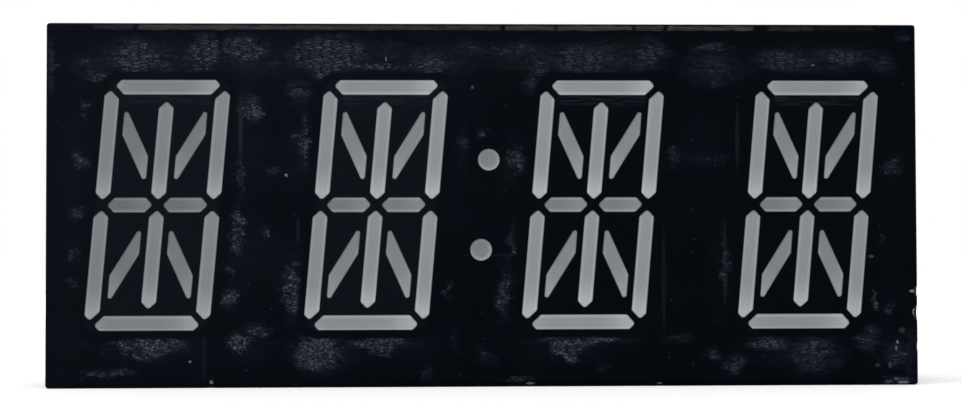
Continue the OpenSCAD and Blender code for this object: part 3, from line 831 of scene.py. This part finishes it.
def moulded_housing():
    """The black moulding, with softened well mouths and a few nicks, printed black on its front."""
    shape = joined_copy("reflector_housing")
    flattened(shape, shape.faces)
    mouths = [
        edge for edge in shape.edges
        if any(lies_at(face, face_y) for face in edge.link_faces)
        and any(is_wall(face) for face in edge.link_faces)
    ]
    bmesh.ops.bevel(
        shape, geom=mouths, offset=MOUTH_ROUND, segments=2, profile=0.5, affect="EDGES", material=-1,
    )
    for edge, middle, reach, depth in NICKS:
        nicked(shape, edge, middle * MM, reach * MM, depth * MM)
    smoothed(shape, degrees=35)
    finishes = (printed_face(), moulded_plastic())
    for face in shape.faces:
        in_front = face.calc_center_median().y < face_y + EDGE_ROUND
        face.material_index = 0 if in_front and face.normal.y < PRINTED_UP_TO else 1
    piece("moulded_housing", shape, finishes, "black_housing", "reflector_housing")


def islands(faces):
    """The verts of each separate bar, found from its front face."""
    for face in faces:
        found, todo = set(), set(face.verts)
        while todo:
            vert = todo.pop()
            found.add(vert)
            todo.update(other for edge in vert.link_edges for other in edge.verts if other not in found)
        yield face, found


def bar_kind(name, front, middle):
    """What kind of bar has this front face."""
    if "colon" in name:
        return "dot"
    across = [vert.co.x for vert in front.verts]
    up = [vert.co.z for vert in front.verts]
    width = max(across) - min(across)
    height = max(up) - min(up)
    if height > UPRIGHT_FROM * width:
        return "slanted" if width > SLANT_RUN * height + SLANT_BAR else "upright"
    if abs(middle.z) < digit_height / 4:
        return "middle"
    return "top" if middle.z > 0 else "bottom"


def towards_lit_end(kind, front):
    """Uprights are lit at the foot and lean with the digit, slanted bars lean on their own, and level
    bars are lit at the right."""
    if kind == "dot":
        return DOT_LIT_END
    if kind == "upright":
        return Vector((-LEAN, 0, -1)).normalized()
    if kind == "slanted":
        top = max(front.verts, key=lambda vert: vert.co.z).co
        foot = min(front.verts, key=lambda vert: vert.co.z).co
        return (foot - top).normalized()
    return Vector((1, 0, 0))


def resin_bars(name, node, finish):
    """The cast resin of one digit or of the colon, dished a little where it set, with each bar's own
    coordinates for its painted light: how far a place lies from the bar's lit end and its far end in mm,
    and across it."""
    shape = joined_copy(node)
    flattened(shape, [face for face in shape.faces if lies_at(face, resin_y)])
    fronts = [face for face in shape.faces if lies_at(face, resin_y)]
    layers = {
        key: shape.verts.layers.float.new(key)
        for key in ("from_lit_end", "from_far_end", "across", "inside_rim", *SHARES)
    }
    for front, verts in islands(fronts):
        middle = sum((v.co for v in front.verts), Vector()) / len(front.verts)
        kind = bar_kind(name, front, middle)
        lit_end = towards_lit_end(kind, front)
        sideways = Vector((lit_end.z, 0, -lit_end.x))
        runs = [lit_end.dot(v.co) for v in front.verts]
        half = max(abs(sideways.dot(v.co - middle)) for v in front.verts)
        for vert in verts:
            vert[layers["from_lit_end"]] = (max(runs) - lit_end.dot(vert.co)) / MM
            vert[layers["from_far_end"]] = (lit_end.dot(vert.co) - min(runs)) / MM
            vert[layers["across"]] = sideways.dot(vert.co - middle) / half
            for key, share in zip(SHARES, BAR_SHARES[kind]):
                vert[layers[key]] = share
    bmesh.ops.inset_individual(
        shape, faces=fronts, thickness=RESIN_RIM, depth=-RESIN_DISH, use_interpolate=True,
    )
    # 0 at the edge of the bar, where the resin finish paints its edge in shade
    for vert in shape.verts:
        vert[layers["inside_rim"]] = 1.0 if JOIN < vert.co.y - resin_y < 2 * RESIN_DISH else 0.0
    smoothed(shape, degrees=40)
    piece(name, shape, (finish,), "hazy_resin", node)


def poured_back():
    """The resin behind the board, drawn up a little where it met the walls and the pins."""
    shape = joined_copy("back_potting")
    flattened(shape, shape.faces)
    tops = [face for face in shape.faces if lies_at(face, pour_y)]
    for width in POUR_RINGS:
        bmesh.ops.inset_region(
            shape, faces=tops, thickness=width, use_even_offset=True, use_boundary=True,
        )
    level = {face for face in shape.faces if lies_at(face, pour_y)}
    ring = {vert for face in level for vert in face.verts if not level.issuperset(vert.link_faces)}
    climbs = {}
    for share in POUR_SHARES:
        climbs.update((vert, share * POUR_CLIMB) for vert in ring)
        inner = {edge.other_vert(vert) for vert in ring for edge in vert.link_edges}
        ring = {vert for vert in inner if vert not in climbs and level.issuperset(vert.link_faces)}
    for vert, climb in climbs.items():
        vert.co.y += climb
    smoothed(shape, degrees=60)
    piece("poured_back", shape, (poured_resin(),), "back_resin", "back_potting")


def dress_inside():
    """Finishes for the frame's own pieces that keep their shape."""
    finishes = {
        "circuit_board": masked_board(),
        "solder_fillets": bright_solder(),
        "led_dies": lit_crystal(),
        "bond_wires": gold_wire(),
        "pin_": tinned_wire(),
    }
    for name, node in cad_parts.items():
        for words, finish in finishes.items():
            if words in name:
                node.data.materials.clear()
                node.data.materials.append(finish)


def seen_directly(tree):
    """1 for rays that show the background itself: from the camera, and off or through gloss."""
    path = tree.nodes.new("ShaderNodeLightPath")
    total = path.outputs["Is Camera Ray"]
    for name in ("Is Glossy Ray", "Is Transmission Ray"):
        larger = tree.nodes.new("ShaderNodeMath")
        larger.operation = "MAXIMUM"
        tree.links.new(total, larger.inputs[0])
        tree.links.new(path.outputs[name], larger.inputs[1])
        total = larger.outputs[0]
    return total


def pale_floor():
    """White paper that takes the object's shadow and is white where it is seen."""
    shape = bmesh.new()
    bmesh.ops.create_grid(shape, x_segments=1, y_segments=1, size=FLOOR_HALF)
    bmesh.ops.translate(shape, verts=shape.verts, vec=(0, 0, housing_low.z))
    mesh = bpy.data.meshes.new("floor")
    shape.to_mesh(mesh)
    shape.free()
    floor = bpy.data.objects.new("floor", mesh)
    bpy.context.scene.collection.objects.link(floor)
    paper = Finish("white_paper")
    reach = paper.node("ShaderNodeVectorMath", operation="LENGTH")
    paper.feed(reach.inputs[0], paper.place)
    glow = paper.sum("ADD", paper.fade(reach.outputs["Value"], *FLOOR_FADE, FLOOR_FAR_GLOW), FLOOR_GLOW)
    fibre = paper.noise((4 * MM,) * 3, detail=3)["Fac"]
    mesh.materials.append(paper.dress(
        Base_Color=paper.tint(fibre, (0.86, 0.86, 0.86, 1), (0.88, 0.88, 0.88, 1)),
        Roughness=0.9,
        Specular_IOR_Level=0.0,
        Emission_Color=(1, 1, 1, 1),
        Emission_Strength=paper.times(seen_directly(paper.tree), glow),
    ))


def white_surround():
    """An even white world: plain light on the object, and full white where it is seen."""
    world = bpy.data.worlds.new("white_surround")
    world.use_nodes = True
    tree = world.node_tree
    strength = tree.nodes.new("ShaderNodeMapRange")
    strength.inputs["To Min"].default_value = SURROUND_LEVEL
    strength.inputs["To Max"].default_value = 1.0
    tree.links.new(seen_directly(tree), strength.inputs["Value"])
    tree.nodes["Background"].inputs["Color"].default_value = (1, 1, 1, 1)
    tree.links.new(strength.outputs["Result"], tree.nodes["Background"].inputs["Strength"])
    bpy.context.scene.world = world


def soft_light(name, place, size, watts):
    """A square light that faces the middle of the object."""
    lamp = bpy.data.lights.new(name, "AREA")
    lamp.shape = "SQUARE"
    lamp.size = size
    lamp.energy = watts
    light = bpy.data.objects.new(name, lamp)
    light.location = place
    light.rotation_euler = (-Vector(place)).to_track_quat("-Z", "Y").to_euler()
    light.visible_camera = False
    bpy.context.scene.collection.objects.link(light)


def photo_camera():
    """The photograph's own viewpoint: almost square on, a little from the left and from below."""
    azimuth, elevation, roll = (math.radians(a) for a in (VIEW_AZIMUTH, VIEW_ELEVATION, VIEW_ROLL))
    ahead = math.cos(elevation)
    away = Vector((math.sin(azimuth) * ahead, -math.cos(azimuth) * ahead, math.sin(elevation)))
    right = (-away).cross(Vector((0, 0, 1))).normalized()
    up = right.cross(-away)
    turn = Matrix((right, up, away)).transposed() @ Matrix.Rotation(roll, 3, "Z")
    lens = bpy.data.cameras.new("photo_camera")
    lens.sensor_width = SENSOR_WIDTH
    lens.lens = LENS_LENGTH
    lens.clip_start = SEEN_FROM
    lens.clip_end = SEEN_TO
    camera = bpy.data.objects.new("photo_camera", lens)
    camera.matrix_world = Matrix.Translation(LOOK_AT + VIEW_DISTANCE * away) @ turn.to_4x4()
    bpy.context.scene.collection.objects.link(camera)
    bpy.context.scene.camera = camera


moulded_housing()
bar_finish = hazy_resin()
for digit in DIGITS:
    resin_bars(f"digit_{digit}_resin_bars", f"digit_{digit}_light_bars", bar_finish)
resin_bars("colon_resin_dots", "colon_light_dots", bar_finish)
poured_back()
dress_inside()

pale_floor()
white_surround()
for light in LIGHTS:
    soft_light(*light)
photo_camera()
bpy.context.scene.view_settings.view_transform = "Standard"
